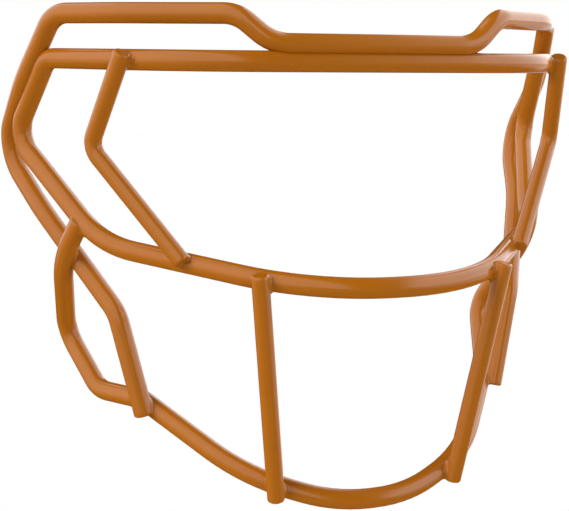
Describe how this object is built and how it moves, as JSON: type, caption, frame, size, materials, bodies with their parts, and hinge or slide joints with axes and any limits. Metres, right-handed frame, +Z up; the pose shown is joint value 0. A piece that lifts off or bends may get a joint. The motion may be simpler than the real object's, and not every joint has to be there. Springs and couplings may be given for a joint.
{
  "type": "football helmet facemask",
  "caption": "Coated steel wire face guard for a football helmet: closed eye loop, raised top rail, chin bar, eye corner bars and uprights, welded where they cross.",
  "frame": {"origin": "middle of the brow bar's centre line, on the plane of symmetry", "axes": "+X to the right as seen from the front, -Y out of the mask's front, +Z up"},
  "size_m": [0.2208, 0.1174, 0.1727],
  "materials": {
    "wire_coat": "satin polymer coat over steel wire",
    "weld_coat": "satin polymer coat over weld metal"
  },
  "bodies": {
    "root": {"eye_loop": "wire_coat", "top_rail": "wire_coat", "chin_bar": "wire_coat", "eye_corner_bar_left": "wire_coat", "eye_corner_bar_right": "wire_coat", "upright_left": "wire_coat", "upright_right": "wire_coat", "weld_loop_butt": "weld_coat", "weld_rail_brow_centre": "weld_coat", "weld_rail_brow_left": "weld_coat", "weld_rail_brow_right": "weld_coat", "weld_eye_bar_brow_left": "weld_coat", "weld_eye_bar_brow_right": "weld_coat", "weld_eye_bar_nose_left": "weld_coat", "weld_eye_bar_nose_right": "weld_coat", "weld_upright_nose_left": "weld_coat", "weld_upright_nose_right": "weld_coat", "weld_upright_chin_left": "weld_coat", "weld_upright_chin_right": "weld_coat", "weld_chin_cheek_left": "weld_coat", "weld_chin_cheek_right": "weld_coat", "weld_chin_rail_left": "weld_coat", "weld_chin_rail_right": "weld_coat", "weld_rail_chin_left": "weld_coat", "weld_rail_chin_right": "weld_coat"}
  },
  "joints": []
}
